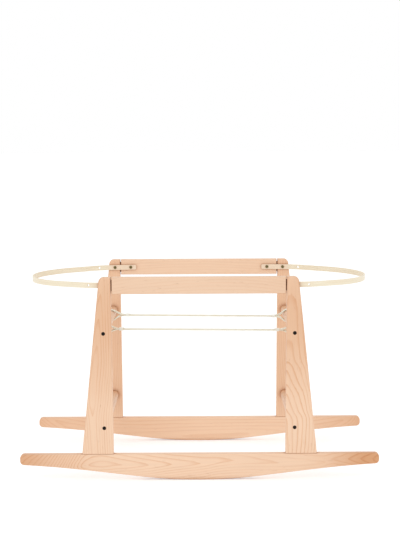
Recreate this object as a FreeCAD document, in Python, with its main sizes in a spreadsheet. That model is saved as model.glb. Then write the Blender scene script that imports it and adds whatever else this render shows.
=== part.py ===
"""Rocking stand for a basket bassinet: two flat wooden side frames, four cross dowels,
two bentwood hoops and two tied ropes.

Frame of reference: millimetres, +Z up, the front frame faces -Y, and the origin is on the
floor under the middle of the stand. The front frame is modelled where it stands. The back
frame is the same pieces turned half a turn about Z.
"""
import FreeCAD, Part
import math
import os

import Sketcher
from FreeCAD import Placement, Rotation, Vector

# Driving dimensions, in millimetres and degrees. They fill the spreadsheet.
SIZES = {
    "rocker_length": 900.0,
    "stand_depth": 450.0,
    "stand_height": 512.0,
    "board_thickness": 18.0,
    "board_rounding": 1.6,
    "rocker_top": 66.0,
    "sole_radius": 1250.0,
    "sole_half_span": 150.0,
    "sole_sweep_start": 280.0,
    "sole_sweep_radius": 2600.0,
    "rocker_end_radius": 10.0,
    "leg_top_inner": 218.5,
    "leg_top_outer": 247.2,
    "leg_foot_inner": 215.4,
    "leg_foot_outer": 293.8,
    "leg_corner_radius": 13.0,
    "rail_height": 42.0,
    "rail_shoulder": 216.0,
    "tenon_height": 28.0,
    "tenon_thickness": 8.0,
    "tenon_reach": 240.0,
    "mortise_reach": 241.0,
    "dowel_diameter": 22.0,
    "dowel_offset": 238.0,
    "upper_dowel_height": 371.0,
    "lower_dowel_height": 132.5,
    "bolt_shank": 6.0,
    "bolt_head": 9.0,
    "bolt_head_height": 5.0,
    "bolt_length": 27.0,
    "bolt_socket": 4.0,
    "bolt_socket_depth": 3.0,
    "counterbore": 9.6,
    "counterbore_depth": 5.4,
    "clearance_bore": 6.6,
    "bore_past_insert": 30.0,
    "insert_diameter": 10.0,
    "insert_length": 16.0,
    "pin_diameter": 10.0,
    "pin_length": 50.0,
    "pin_chamfer": 1.0,
    "pin_inner": 233.0,
    "pin_outer": 273.0,
    "hoop_height": 490.5,
    "hoop_reach": 436.0,
    "hoop_arm_end": 173.5,
    "hoop_bend_start": 238.0,
    "hoop_shoulder_radius": 110.0,
    "hoop_end_radius": 185.0,
    "hoop_droop": 0.75,
    "strap_height": 13.5,
    "strap_thickness": 3.2,
    "strap_corner": 4.0,
    "screw_inner": 188.8,
    "screw_outer": 232.3,
    "spare_hole": 274.8,
    "strap_hole": 5.6,
    "screw_shank": 5.0,
    "screw_length": 17.0,
    "screw_head": 8.0,
    "screw_head_height": 2.4,
    "screw_socket": 3.0,
    "screw_socket_depth": 1.4,
    "rope_diameter": 5.0,
    "whipping_bore": 5.1,
    "whipping_wall": 1.0,
    "whipping_length": 11.0,
}

# Routes of the ropes: from the tied tail, under and round the left dowel, back over it to
# the throat, straight across, and over and round the right dowel to the other tail.
ROPE_BACK_ROUTE = [
    (-185.7, 108.7, 371.0),
    (-206.1, 110.2, 371.0),
    (-223.5, 108.5, 365.2),
    (-229.8, 107.5, 358.6),
    (-238.7, 107.3, 356.0),
    (-249.4, 108.1, 361.2),
    (-253.0, 108.3, 372.6),
    (-247.0, 107.9, 383.0),
    (-235.4, 107.1, 385.8),
    (-206.5, 105.0, 371.0),
    (213.0, 75.0, 371.0),
    (235.3, 99.0, 386.2),
    (247.2, 102.0, 383.3),
    (253.4, 97.0, 372.6),
    (249.7, 89.0, 361.0),
    (238.7, 82.0, 355.7),
    (229.8, 76.0, 358.2),
    (223.0, 72.4, 365.2),
    (212.6, 69.8, 371.0),
    (192.2, 71.3, 371.0),
]
ROPE_FRONT_ROUTE = [
    (-189.2, -142.9, 371.0),
    (-209.7, -141.6, 371.0),
    (-223.5, -143.6, 365.2),
    (-229.8, -144.6, 358.6),
    (-238.7, -144.9, 356.0),
    (-249.4, -144.3, 361.2),
    (-253.0, -144.0, 372.6),
    (-247.0, -144.4, 383.0),
    (-235.4, -145.1, 385.8),
    (-210.0, -146.76, 371.0),
    (210.0, -173.24, 371.0),
    (235.4, -174.9, 385.8),
    (247.0, -175.6, 383.0),
    (253.0, -176.0, 372.6),
    (249.4, -175.7, 361.2),
    (238.7, -175.1, 356.0),
    (229.8, -173.6, 358.6),
    (223.5, -171.3, 365.2),
    (210.3, -168.0, 371.0),
    (189.8, -166.7, 371.0),
]
EYE_RADIUS = 13.8        # rope centreline round a dowel, a hair clear of the wood
THROAT_RADIUS = 15.0     # gentle turn where the two strands of an eye meet
EYE_TURN = 35.0          # corners that turn more than this, in degrees, go round a dowel
WHIPPING_GAP = 7.5       # from the throat's corner to the near end of its whipping

HALF_TURN = Placement(Vector(0, 0, 0), Rotation(Vector(0, 0, 1), 180))
NO_TURN = Placement()

document = FreeCAD.newDocument("rocking_stand")
sheet = document.addObject("Spreadsheet::Sheet", "sizes")
sheet.Label = "sizes"
for row, (alias, value) in enumerate(SIZES.items(), start=1):
    sheet.set(f"A{row}", alias)
    sheet.set(f"B{row}", str(value))
    sheet.setAlias(f"B{row}", alias)
document.recompute()


class Size:
    """A length that knows both its number and the spreadsheet expression it comes from."""

    def __init__(self, number, text):
        self.number = number
        self.text = text

    @staticmethod
    def of(value):
        return value if isinstance(value, Size) else Size(float(value), repr(float(value)))

    def __add__(self, other):
        other = Size.of(other)
        return Size(self.number + other.number, f"({self.text} + {other.text})")

    def __sub__(self, other):
        other = Size.of(other)
        return Size(self.number - other.number, f"({self.text} - {other.text})")

    def __mul__(self, factor):
        return Size(self.number * factor, f"({self.text} * {factor!r})")

    def __neg__(self):
        return self * -1.0


def size(alias):
    return Size(sheet.get(alias), f"<<sizes>>.{alias}")


ZERO = Size.of(0)
half_depth = size("stand_depth") * 0.5
inner_face = half_depth - size("board_thickness")
mid_plane = half_depth - size("board_thickness") * 0.5
exported = []


# ---- Sketch and feature helpers ------------------------------------------------------

def new_body(label, placement=NO_TURN):
    body = document.addObject("PartDesign::Body", label)
    body.Label = label
    body.Placement = placement
    exported.append(body)
    return body


def new_sketch(body, name, role, offset=ZERO):
    """A sketch on one of the body's own origin planes, moved along that plane's normal."""
    plane = next(item for item in body.Origin.OriginFeatures if item.Role == role)
    sketch = body.newObject("Sketcher::SketchObject", f"{body.Name}_{name}")
    sketch.AttachmentSupport = (plane, [""])
    sketch.MapMode = "FlatFace"
    sketch.AttachmentOffset = Placement(Vector(0, 0, offset.number), Rotation())
    sketch.setExpression("AttachmentOffset.Base.z", offset.text)
    return sketch


def pin_vertex(sketch, geometry, vertex, across, up):
    """Fix one vertex of the sketch by its signed distances from the sketch's origin."""
    for kind, value in (("DistanceX", across), ("DistanceY", up)):
        index = sketch.addConstraint(
            Sketcher.Constraint(kind, -1, 1, geometry, vertex, value.number))
        name = f"{kind}_{index}"
        sketch.renameConstraint(index, name)
        sketch.setExpression(f"Constraints.{name}", value.text)


def bind(sketch, kind, geometry, value):
    """Fix a radius or diameter to a Size."""
    index = sketch.addConstraint(Sketcher.Constraint(kind, geometry, value.number))
    name = f"{kind}_{index}"
    sketch.renameConstraint(index, name)
    sketch.setExpression(f"Constraints.{name}", value.text)


def add_polygon(sketch, corners):
    """A closed outline of straight lines through corners, each a pair of Sizes."""
    points = [Vector(across.number, up.number, 0) for across, up in corners]
    first = sketch.GeometryCount
    count = len(points)
    for index, point in enumerate(points):
        sketch.addGeometry(Part.LineSegment(point, points[(index + 1) % count]), False)
    for index in range(count):
        following = first + (index + 1) % count
        sketch.addConstraint(Sketcher.Constraint("Coincident", first + index, 2, following, 1))
    for index, (across, up) in enumerate(corners):
        pin_vertex(sketch, first + index, 1, across, up)


def add_rectangle(sketch, left, right, bottom, top):
    add_polygon(sketch, [(left, bottom), (right, bottom), (right, top), (left, top)])


def add_circle(sketch, diameter, across=ZERO, up=ZERO):
    centre = Vector(across.number, up.number, 0)
    circle = sketch.addGeometry(Part.Circle(centre, Vector(0, 0, 1), diameter.number / 2), False)
    pin_vertex(sketch, circle, 3, across, up)
    bind(sketch, "Diameter", circle, diameter)


def pad(body, sketch, length, both_ways=False):
    feature = body.newObject("PartDesign::Pad", f"{sketch.Name}_pad")
    feature.Profile = sketch
    feature.Length = length.number
    feature.setExpression("Length", length.text)
    feature.Midplane = both_ways
    sketch.Visibility = False
    document.recompute()
    return feature


def pocket(body, sketch, depth, along_normal=False, both_ways=False):
    """Cut the sketch into the body, against its plane's normal unless along_normal."""
    before = body.Shape.Volume
    feature = body.newObject("PartDesign::Pocket", f"{sketch.Name}_pocket")
    feature.Profile = sketch
    feature.Length = depth.number
    feature.setExpression("Length", depth.text)
    feature.Reversed = along_normal
    feature.Midplane = both_ways
    sketch.Visibility = False
    document.recompute()
    if body.Shape.Volume > before - 1.0:
        raise RuntimeError(f"{feature.Name} removed nothing")
    return feature


def edge_names(shape, wanted):
    return [f"Edge{number}" for number, edge in enumerate(shape.Edges, start=1) if wanted(edge)]


def dress(body, kind, name, wanted, amount):
    """Add a Fillet (Radius) or Chamfer (Size) on the edges of the tip that are wanted."""
    base = body.Tip
    feature = body.newObject(f"PartDesign::{kind}", f"{body.Name}_{name}")
    feature.Base = (base, edge_names(base.Shape, wanted))
    field = "Radius" if kind == "Fillet" else "Size"
    setattr(feature, field, amount.number)
    feature.setExpression(field, amount.text)
    document.recompute()
    return feature


def along_y(edge):
    """True for a straight edge parallel to Y."""
    if not isinstance(edge.Curve, Part.Line):
        return False
    return abs(edge.tangentAt(edge.FirstParameter).y) > 0.999


def on_board_face(edge):
    """True for an edge that lies wholly in the front or the inner face of the front frame."""
    box = edge.BoundBox
    flat = box.YLength < 0.01
    return flat and min(abs(box.YMin + half_depth.number), abs(box.YMin + inner_face.number)) < 0.01


def link_group(label, source, placements):
    """One node of identical pieces: a compound of links to one modelled piece."""
    links = []
    for number, placement in enumerate(placements, start=1):
        link = document.addObject("App::Link", f"{label}_{number}")
        link.LinkedObject = source
        link.LinkTransform = False
        link.Placement = placement
        links.append(link)
    group = document.addObject("Part::Compound", label)
    group.Label = label
    group.Links = links
    exported.append(group)
    document.recompute()
    return group


# ---- Side frames ---------------------------------------------------------------------

def make_rocker(label, placement):
    """A board on edge: arched sole, straight flanks that sweep flatter towards the ends."""
    radius = SIZES["sole_radius"]
    span = SIZES["sole_half_span"]
    start = SIZES["sole_sweep_start"]
    sweep = SIZES["sole_sweep_radius"]
    end = SIZES["rocker_length"] / 2
    angle = math.asin(span / radius)
    arch_rise = radius - radius * math.cos(angle)
    flank_rise = arch_rise + (start - span) * math.tan(angle)
    sweep_centre = Vector(start + sweep * math.sin(angle), flank_rise - sweep * math.cos(angle), 0)
    end_angle = math.acos((end - sweep_centre.x) / sweep)
    end_rise = sweep_centre.y + sweep * math.sin(end_angle)
    top = SIZES["rocker_top"]

    body = new_body(label, placement)
    outline = new_sketch(body, "outline", "XZ_Plane", inner_face)
    up = Vector(0, 0, 1)
    middle = Vector(0, 0, 0)
    arch_end = Vector(span, arch_rise, 0)
    flank_end = Vector(start, flank_rise, 0)
    toe = Vector(end, end_rise, 0)
    toe_top = Vector(end, top, 0)
    middle_top = Vector(0, top, 0)
    arch = Part.ArcOfCircle(
        Part.Circle(Vector(0, radius, 0), up, radius), -math.pi / 2, angle - math.pi / 2)
    sweep_arc = Part.ArcOfCircle(
        Part.Circle(sweep_centre, up, sweep), end_angle, math.pi / 2 + angle)
    edges = [
        arch,
        Part.LineSegment(arch_end, flank_end),
        sweep_arc,
        Part.LineSegment(toe, toe_top),
        Part.LineSegment(toe_top, middle_top),
        Part.LineSegment(middle_top, middle),
    ]
    outline.addGeometry(edges, False)
    for first, first_end, second, second_end in (
            (3, 2, 4, 1), (4, 2, 5, 1), (5, 2, 0, 1), (2, 1, 3, 1)):
        outline.addConstraint(
            Sketcher.Constraint("Coincident", first, first_end, second, second_end))
    outline.addConstraint(Sketcher.Constraint("Tangent", 0, 2, 1, 1))
    outline.addConstraint(Sketcher.Constraint("Tangent", 1, 2, 2, 2))
    pin_vertex(outline, 0, 3, ZERO, size("sole_radius"))
    pin_vertex(outline, 5, 2, ZERO, ZERO)
    pin_vertex(outline, 3, 2, size("rocker_length") * 0.5, size("rocker_top"))
    pin_vertex(outline, 4, 2, ZERO, size("rocker_top"))
    for kind, geometry, vertex, value in (
            ("DistanceX", 0, 2, size("sole_half_span")),
            ("DistanceX", 1, 2, size("sole_sweep_start")),
            ("DistanceX", 2, 1, size("rocker_length") * 0.5)):
        index = outline.addConstraint(
            Sketcher.Constraint(kind, -1, 1, geometry, vertex, value.number))
        outline.renameConstraint(index, f"station_{index}")
        outline.setExpression(f"Constraints.station_{index}", value.text)
    bind(outline, "Radius", 2, size("sole_sweep_radius"))
    half = pad(body, outline, size("board_thickness"))

    mirrored = body.newObject("PartDesign::Mirrored", f"{label}_mirrored")
    mirror_plane = next(item for item in body.Origin.OriginFeatures if item.Role == "YZ_Plane")
    mirrored.Originals = [half]
    mirrored.MirrorPlane = (mirror_plane, [""])
    body.Tip = mirrored
    document.recompute()

    tip_x = end - 1.0
    dress(body, "Fillet", "ends",
          lambda edge: along_y(edge) and abs(edge.BoundBox.XMin) > tip_x,
          size("rocker_end_radius"))
    dress(body, "Fillet", "rounding", on_board_face, size("board_rounding"))

    holes = new_sketch(body, "pin_holes", "XY_Plane", size("rocker_top"))
    for side in (-1, 1):
        for station in ("pin_inner", "pin_outer"):
            add_circle(holes, size("pin_diameter"), size(station) * side, -mid_plane)
    pocket(body, holes, size("pin_length") * 0.5)
    return body


def make_leg(label, side, placement):
    """A tapered leg. side is -1 for the leg on the left of the front frame, 1 on the right."""
    body = new_body(label, placement)
    top = size("stand_height")
    foot = size("rocker_top")
    outline = new_sketch(body, "outline", "XZ_Plane", inner_face)
    add_polygon(outline, [
        (size("leg_foot_inner") * side, foot),
        (size("leg_foot_outer") * side, foot),
        (size("leg_top_outer") * side, top),
        (size("leg_top_inner") * side, top),
    ])
    pad(body, outline, size("board_thickness"))

    outer_top = SIZES["leg_top_outer"]
    dress(body, "Fillet", "corner",
          lambda edge: (along_y(edge) and edge.BoundBox.ZMin > top.number - 1
                        and abs(edge.BoundBox.XMin) > outer_top - 1),
          size("leg_corner_radius"))
    dress(body, "Fillet", "rounding", on_board_face, size("board_rounding"))

    rail_middle = top - size("rail_height") * 0.5
    mortise = new_sketch(body, "mortise", "YZ_Plane", size("leg_foot_inner") * side)
    add_rectangle(mortise,
                  -(mid_plane + size("tenon_thickness") * 0.5),
                  -(mid_plane - size("tenon_thickness") * 0.5),
                  rail_middle - size("tenon_height") * 0.5,
                  rail_middle + size("tenon_height") * 0.5)
    pocket(body, mortise, size("mortise_reach") - size("leg_foot_inner"), along_normal=side > 0)

    across = size("dowel_offset") * side
    bores = new_sketch(body, "bolt_bores", "XZ_Plane", half_depth)
    sinks = new_sketch(body, "counterbores", "XZ_Plane", half_depth)
    for height in ("upper_dowel_height", "lower_dowel_height"):
        add_circle(bores, size("clearance_bore"), across, size(height))
        add_circle(sinks, size("counterbore"), across, size(height))
    pocket(body, bores, size("board_thickness"))
    pocket(body, sinks, size("counterbore_depth"))

    pilot = new_sketch(body, "screw_pilot", "XZ_Plane", inner_face)
    add_circle(pilot, size("screw_shank"), size("screw_outer") * side, screw_height("screw_outer"))
    pocket(body, pilot, size("screw_length") - size("strap_thickness"), along_normal=True)

    holes = new_sketch(body, "pin_holes", "XY_Plane", foot)
    for station in ("pin_inner", "pin_outer"):
        add_circle(holes, size("pin_diameter"), size(station) * side, -mid_plane)
    pocket(body, holes, size("pin_length") * 0.5, along_normal=True)
    return body


def make_rail(label, placement):
    """The top rail, with a tenon at each end that bridges a narrow shadow gap to the leg.

    One hoop screw goes into the rail itself, and the next pins its tenon in the leg.
    """
    body = new_body(label, placement)
    top = size("stand_height")
    shoulder = size("rail_shoulder")
    outline = new_sketch(body, "outline", "XZ_Plane", inner_face)
    add_rectangle(outline, -shoulder, shoulder, top - size("rail_height"), top)
    pad(body, outline, size("board_thickness"))
    dress(body, "Fillet", "rounding", on_board_face, size("board_rounding"))

    tenons = new_sketch(body, "tenons", "XZ_Plane", mid_plane)
    middle = top - size("rail_height") * 0.5
    reach = size("tenon_reach")
    add_rectangle(tenons, -reach, reach,
                  middle - size("tenon_height") * 0.5, middle + size("tenon_height") * 0.5)
    pad(body, tenons, size("tenon_thickness"), both_ways=True)

    pilot = new_sketch(body, "screw_pilots", "XZ_Plane", inner_face)
    for side in (-1, 1):
        for station in ("screw_inner", "screw_outer"):
            add_circle(pilot, size("screw_shank"), size(station) * side, screw_height(station))
    pocket(body, pilot, size("screw_length") - size("strap_thickness"), along_normal=True)
    return body


def screw_height(station):
    """Height of a hoop screw: the hoops droop a little about the middle of their screws."""
    pivot = (SIZES["screw_inner"] + SIZES["screw_outer"]) / 2
    fall = (SIZES[station] - pivot) * math.tan(math.radians(SIZES["hoop_droop"]))
    text = (f"(<<sizes>>.hoop_height - (<<sizes>>.{station} - (<<sizes>>.screw_inner"
            f" + <<sizes>>.screw_outer) / 2) * tan(<<sizes>>.hoop_droop * 1deg))")
    return Size(SIZES["hoop_height"] - fall, text)


# ---- Cross dowels and their bolts ----------------------------------------------------

def make_cross_dowel(label, side, height):
    """A round dowel between the side frames, bored at both ends for an insert and a bolt."""
    body = new_body(label)
    across = size("dowel_offset") * side
    up = size(height)
    section = new_sketch(body, "section", "XZ_Plane")
    add_circle(section, size("dowel_diameter"), across, up)
    pad(body, section, inner_face * 2.0, both_ways=True)
    for end, facing in (("front", 1), ("back", -1)):
        seat = new_sketch(body, f"{end}_insert_seat", "XZ_Plane", inner_face * facing)
        add_circle(seat, size("insert_diameter"), across, up)
        pocket(body, seat, size("insert_length"), along_normal=facing < 0)
        bore = new_sketch(body, f"{end}_bolt_bore", "XZ_Plane", inner_face * facing)
        add_circle(bore, size("bolt_shank"), across, up)
        pocket(body, bore, size("bore_past_insert"), along_normal=facing < 0)
    return body


def unplaced_body(name):
    """A body that is modelled once about its own axis and used through links."""
    body = new_body(name)
    exported.remove(body)
    return body


def make_bolt():
    """A socket-head bolt along Y: its head faces -Y and ends at Y = 0, its shank runs to +Y."""
    body = unplaced_body("bolt_pattern")
    head = new_sketch(body, "head", "XZ_Plane")
    add_circle(head, size("bolt_head"))
    pad(body, head, size("bolt_head_height"))
    rim = -SIZES["bolt_head_height"] + 0.01
    dress(body, "Chamfer", "rim", lambda edge: edge.BoundBox.YMax < rim, Size.of(0.5))
    shank = new_sketch(body, "shank", "XZ_Plane", -size("bolt_length"))
    add_circle(shank, size("bolt_shank"))
    pad(body, shank, size("bolt_length"))
    socket = new_sketch(body, "socket", "XZ_Plane", size("bolt_head_height"))
    add_hexagon(socket, size("bolt_socket"))
    pocket(body, socket, size("bolt_socket_depth"))
    return body


def add_hexagon(sketch, width_across_flats):
    radius = width_across_flats * (1 / math.sqrt(3))
    corners = []
    for number in range(6):
        angle = math.radians(60 * number)
        corners.append((radius * math.cos(angle), radius * math.sin(angle)))
    add_polygon(sketch, corners)


def make_insert():
    """A threaded sleeve, from Y = 0 back to +Y."""
    body = unplaced_body("insert_pattern")
    ring = new_sketch(body, "ring", "XZ_Plane", -size("insert_length"))
    add_circle(ring, size("insert_diameter"))
    add_circle(ring, size("bolt_shank"))
    pad(body, ring, size("insert_length"))
    return body


def dowel_end_placements(depth):
    """Placements at the eight dowel ends, depth outwards from the inner faces."""
    places = []
    for frame in (NO_TURN, HALF_TURN):
        for side in (-1, 1):
            for height in ("upper_dowel_height", "lower_dowel_height"):
                spot = Vector(SIZES["dowel_offset"] * side, -inner_face.number - depth,
                              SIZES[height])
                places.append(frame * Placement(spot, Rotation()))
    return places


# ---- Foot pins -----------------------------------------------------------------------

def make_pin():
    """A chamfered wooden pin, standing on Z about its own middle."""
    body = unplaced_body("pin_pattern")
    section = new_sketch(body, "section", "XY_Plane")
    add_circle(section, size("pin_diameter"))
    pad(body, section, size("pin_length"), both_ways=True)
    dress(body, "Chamfer", "ends", lambda edge: edge.BoundBox.ZLength < 0.01,
          size("pin_chamfer"))
    return body


def pin_placements(frame):
    places = []
    for side in (-1, 1):
        for station in ("pin_inner", "pin_outer"):
            spot = Vector(SIZES[station] * side, -mid_plane.number, SIZES["rocker_top"])
            places.append(frame * Placement(spot, Rotation()))
    return places


# ---- Hoops and their screws ----------------------------------------------------------

def hoop_tangent_heading():
    """Angle from +X of the outward normal on the straight flank between the two bends."""
    shoulder = SIZES["hoop_shoulder_radius"]
    end = SIZES["hoop_end_radius"]
    arm_line = inner_face.number - SIZES["strap_thickness"] / 2
    reach_line = SIZES["hoop_reach"] - SIZES["strap_thickness"] / 2
    apart = Vector(reach_line - end - SIZES["hoop_bend_start"], shoulder - arm_line, 0)
    bearing = math.atan2(apart.y, apart.x)
    return bearing + math.acos((shoulder - end) / apart.Length)


def add_hoop_side(plan, arm_line, shoulder_radius, end_radius):
    """One face of the strap, from arm end to arm end: arm, shoulder, flank, round end."""
    normal_angle = hoop_tangent_heading()
    normal = Vector(math.cos(normal_angle), math.sin(normal_angle), 0)
    up = Vector(0, 0, 1)
    start = size("hoop_bend_start")
    arm_end = size("hoop_arm_end")
    end_centre = size("hoop_reach") - size("strap_thickness") * 0.5 - size("hoop_end_radius")
    first = plan.GeometryCount
    round_end = Part.Circle(Vector(end_centre.number, 0, 0), up, end_radius.number)
    plan.addGeometry(Part.ArcOfCircle(round_end, -normal_angle, normal_angle), False)
    pin_vertex(plan, first, 3, end_centre, ZERO)
    bind(plan, "Radius", first, end_radius)
    for sign in (1, -1):
        arm, shoulder, flank = (plan.GeometryCount + step for step in range(3))
        line = arm_line.number * sign
        middle = Vector(start.number, line - shoulder_radius.number * sign, 0)
        outward = Vector(normal.x, normal.y * sign, 0)
        upper = sorted((math.pi / 2 * sign, normal_angle * sign))
        flank_start = middle + outward * shoulder_radius.number
        flank_end = Vector(end_centre.number, 0, 0) + outward * end_radius.number
        plan.addGeometry(Part.LineSegment(
            Vector(arm_end.number, line, 0), Vector(start.number, line, 0)), False)
        plan.addGeometry(Part.ArcOfCircle(
            Part.Circle(middle, up, shoulder_radius.number), *upper), False)
        plan.addGeometry(Part.LineSegment(flank_start, flank_end), False)
        at_arm, at_flank = (2, 1) if sign > 0 else (1, 2)
        pin_vertex(plan, arm, 1, arm_end, arm_line * sign)
        pin_vertex(plan, arm, 2, start, arm_line * sign)
        plan.addConstraint(Sketcher.Constraint("Tangent", arm, 2, shoulder, at_arm))
        plan.addConstraint(Sketcher.Constraint("Tangent", shoulder, at_flank, flank, 1))
        plan.addConstraint(Sketcher.Constraint("Tangent", flank, 2, first, 2 if sign > 0 else 1))
        bind(plan, "Radius", shoulder, shoulder_radius)
    return first


def make_hoop(label, placement):
    """A bent strap on edge: straight arms that turn in to a round end, reaching to +X."""
    body = new_body(label, placement)
    half_strap = size("strap_thickness") * 0.5
    plan = new_sketch(body, "plan", "XY_Plane", -size("strap_height") * 0.5)
    arm_middle = inner_face - half_strap
    faces = []
    for offset in (half_strap, -half_strap):
        faces.append(add_hoop_side(plan, arm_middle + offset,
                                   size("hoop_shoulder_radius") + offset,
                                   size("hoop_end_radius") + offset))
    for arm in (1, 4):
        outer, inner = faces[0] + arm, faces[1] + arm
        cap = plan.addGeometry(Part.LineSegment(
            plan.Geometry[outer].StartPoint, plan.Geometry[inner].StartPoint), False)
        plan.addConstraint(Sketcher.Constraint("Coincident", cap, 1, outer, 1))
        plan.addConstraint(Sketcher.Constraint("Coincident", cap, 2, inner, 1))
    pad(body, plan, size("strap_height"))

    arm_x = SIZES["hoop_arm_end"] + 0.01
    dress(body, "Fillet", "arm_corners",
          lambda edge: along_y(edge) and edge.BoundBox.XMax < arm_x, size("strap_corner"))
    holes = new_sketch(body, "screw_holes", "XZ_Plane", inner_face + Size.of(1))
    for station in ("screw_inner", "screw_outer"):
        add_circle(holes, size("strap_hole"), size(station))
    pocket(body, holes, (inner_face + Size.of(1)) * 2.0)
    for sign in (-1, 1):
        cut_spare_hole(body, sign)
    return body


def cut_spare_hole(body, sign):
    """A hole square to the strap on its shoulder bend, in the arm on the sign side of Y."""
    shoulder = SIZES["hoop_shoulder_radius"]
    arm_line = inner_face.number - SIZES["strap_thickness"] / 2
    lean = math.asin((SIZES["spare_hole"] - SIZES["hoop_bend_start"]) / shoulder)
    across = arm_line - shoulder + shoulder * math.cos(lean)
    sketch = new_sketch(body, "spare_hole_back" if sign > 0 else "spare_hole_front", "XZ_Plane")
    sketch.setExpression("AttachmentOffset.Base.z", None)
    sketch.AttachmentOffset = Placement(Vector(SIZES["spare_hole"], 0, -across * sign),
                                        Rotation(Vector(0, 1, 0), math.degrees(-sign * lean)))
    add_circle(sketch, size("strap_hole"))
    pocket(body, sketch, size("strap_thickness") * 4.0, both_ways=True)


def hoop_placement(side):
    """The hoop lies level at Z = 0 in its own frame: lift it, and droop its free end."""
    pivot = Vector((SIZES["screw_inner"] + SIZES["screw_outer"]) / 2, 0, 0)
    droop = Placement(Vector(0, 0, SIZES["hoop_height"]),
                      Rotation(Vector(0, 1, 0), SIZES["hoop_droop"]), pivot)
    return droop if side > 0 else HALF_TURN * droop


def make_screw():
    """A domed screw along Y: the underside of its head is at Y = 0, its shank runs to -Y."""
    body = unplaced_body("screw_pattern")
    head = new_sketch(body, "head", "XZ_Plane", -size("screw_head_height"))
    add_circle(head, size("screw_head"))
    pad(body, head, size("screw_head_height"))
    crown = SIZES["screw_head_height"] - 0.01
    dress(body, "Fillet", "crown", lambda edge: edge.BoundBox.YMin > crown, Size.of(1.6))
    shank = new_sketch(body, "shank", "XZ_Plane")
    add_circle(shank, size("screw_shank"))
    pad(body, shank, size("screw_length"))
    socket = new_sketch(body, "socket", "XZ_Plane", -size("screw_head_height"))
    add_hexagon(socket, size("screw_socket"))
    pocket(body, socket, size("screw_socket_depth"), along_normal=True)
    return body


def screw_placements(side):
    """The four screws of one hoop, two in each frame, heads towards the basket."""
    places = []
    turn = NO_TURN if side > 0 else HALF_TURN
    head_seat = inner_face.number - SIZES["strap_thickness"]
    for facing in (-1, 1):
        for station in ("screw_inner", "screw_outer"):
            spot = Vector(SIZES[station], facing * head_seat, screw_height(station).number)
            rotation = Rotation() if facing < 0 else Rotation(Vector(0, 0, 1), 180)
            places.append(turn * Placement(spot, rotation))
    return places


# ---- Ropes and whippings -------------------------------------------------------------

def rope_wire(label, route):
    """The route as straight runs joined by tangent arcs."""
    points = [Vector(*point) for point in route]
    edges = []
    start = points[0]
    radii = []
    for before, corner, after in zip(points, points[1:], points[2:]):
        into = (corner - before).normalize()
        out = (after - corner).normalize()
        turn = into.getAngle(out)
        shorter = min(corner.distanceToPoint(before), corner.distanceToPoint(after))
        if math.degrees(turn) > EYE_TURN:
            setback = min(EYE_RADIUS * math.tan(turn / 2), shorter / 2)
        else:
            setback = THROAT_RADIUS * math.tan(turn / 2)
        radius = setback / math.tan(turn / 2)
        radii.append(round(radius, 1))
        arc_start = corner - into * setback
        arc_end = corner + out * setback
        inward = (out - into).normalize()
        sagitta = radius / math.cos(turn / 2) - radius
        if start.distanceToPoint(arc_start) > 0.02:
            edges.append(Part.LineSegment(start, arc_start).toShape())
        else:
            arc_start = start
        edges.append(Part.Arc(arc_start, corner + inward * sagitta, arc_end).toShape())
        start = arc_end
    edges.append(Part.LineSegment(start, points[-1]).toShape())
    print(f"{label}: bend radii {radii}")
    return Part.Wire(edges)


def make_rope(label, route):
    wire = rope_wire(label, route)
    radius = sheet.get("rope_diameter") / 2
    first = wire.Edges[0]
    direction = first.tangentAt(first.FirstParameter)
    profile = Part.Wire(Part.makeCircle(radius, Vector(*route[0]), direction))
    tube = wire.makePipeShell([profile], True, False)
    expected = math.pi * radius ** 2 * wire.Length
    print(f"{label}: length {wire.Length:.1f} mm, volume {tube.Volume:.0f}, expected {expected:.0f}")
    if abs(tube.Volume - expected) > 0.01 * expected:
        raise RuntimeError(f"{label} has the wrong volume")
    rope = document.addObject("Part::Feature", label)
    rope.Label = label
    rope.Shape = tube
    rope.Placement = NO_TURN
    exported.append(rope)
    return rope


def make_whipping(label, throat, tail_throat, tail_end):
    """A bound sleeve round the standing part of a rope and the tail beside it, along X."""
    towards = (Vector(*tail_end) - Vector(*tail_throat)).normalize()
    beside = Vector(*throat) - Vector(*tail_throat)
    beside -= towards * beside.dot(towards)
    start = Vector(*throat) + towards * WHIPPING_GAP
    turn = Rotation(towards, Vector(), beside, "XZY")
    body = new_body(label, Placement(start, turn))
    drop = Size.of(round(beside.Length, 2))
    outside = size("rope_diameter") + size("whipping_wall") * 2.0
    half = outside * 0.5
    sleeve = new_sketch(body, "sleeve", "YZ_Plane")
    add_slot(sleeve, half, -drop)
    pad(body, sleeve, size("whipping_length"))
    strands = new_sketch(body, "strands", "YZ_Plane")
    add_circle(strands, size("whipping_bore"))
    add_circle(strands, size("whipping_bore"), ZERO, -drop)
    pocket(body, strands, size("whipping_length"), along_normal=True)
    return body


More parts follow.
